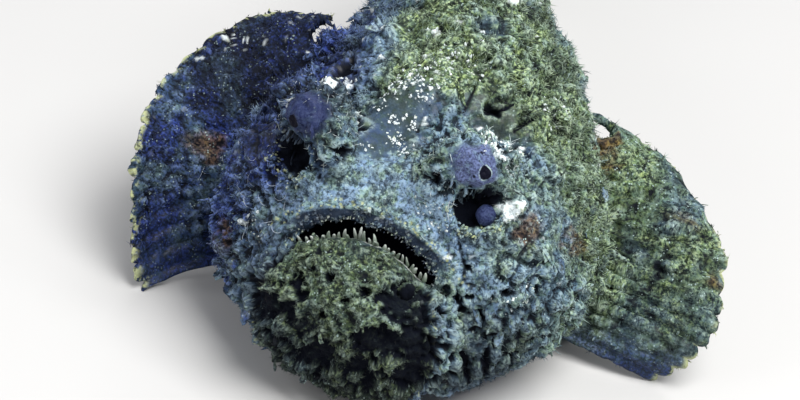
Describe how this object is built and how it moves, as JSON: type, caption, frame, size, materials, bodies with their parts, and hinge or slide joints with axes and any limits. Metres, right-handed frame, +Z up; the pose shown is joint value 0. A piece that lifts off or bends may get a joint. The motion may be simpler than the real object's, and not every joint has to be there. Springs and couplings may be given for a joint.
{
  "type": "stonefish",
  "caption": "Reef stonefish at life size, lying on its belly with its upturned mouth ajar and its broad pectoral fins spread on the floor.",
  "frame": {"origin": "centre of the bounding box in plan, on the plane that the belly and fins rest on", "axes": "+Z up; the fish faces -Y with its tail towards +Y; +X is the fish's left side"},
  "size_m": [0.1873, 0.3303, 0.1276],
  "materials": {
    "warty_skin": "rough, warty",
    "chin_skin": "rough, mossy",
    "fin_skin": "rough, ribbed",
    "eye": "moist"
  },
  "bodies": {
    "root": {"head": "warty_skin", "lower_jaw": "chin_skin", "torso": "warty_skin", "tail_stock": "warty_skin", "eye_left": "eye", "eye_right": "eye", "pectoral_fin_left": "fin_skin", "pectoral_fin_right": "fin_skin", "pelvic_fin_left": "fin_skin", "pelvic_fin_right": "fin_skin", "dorsal_fin_spiny": "fin_skin", "dorsal_fin_soft": "fin_skin", "anal_fin": "fin_skin", "caudal_fin": "fin_skin"}
  },
  "joints": []
}
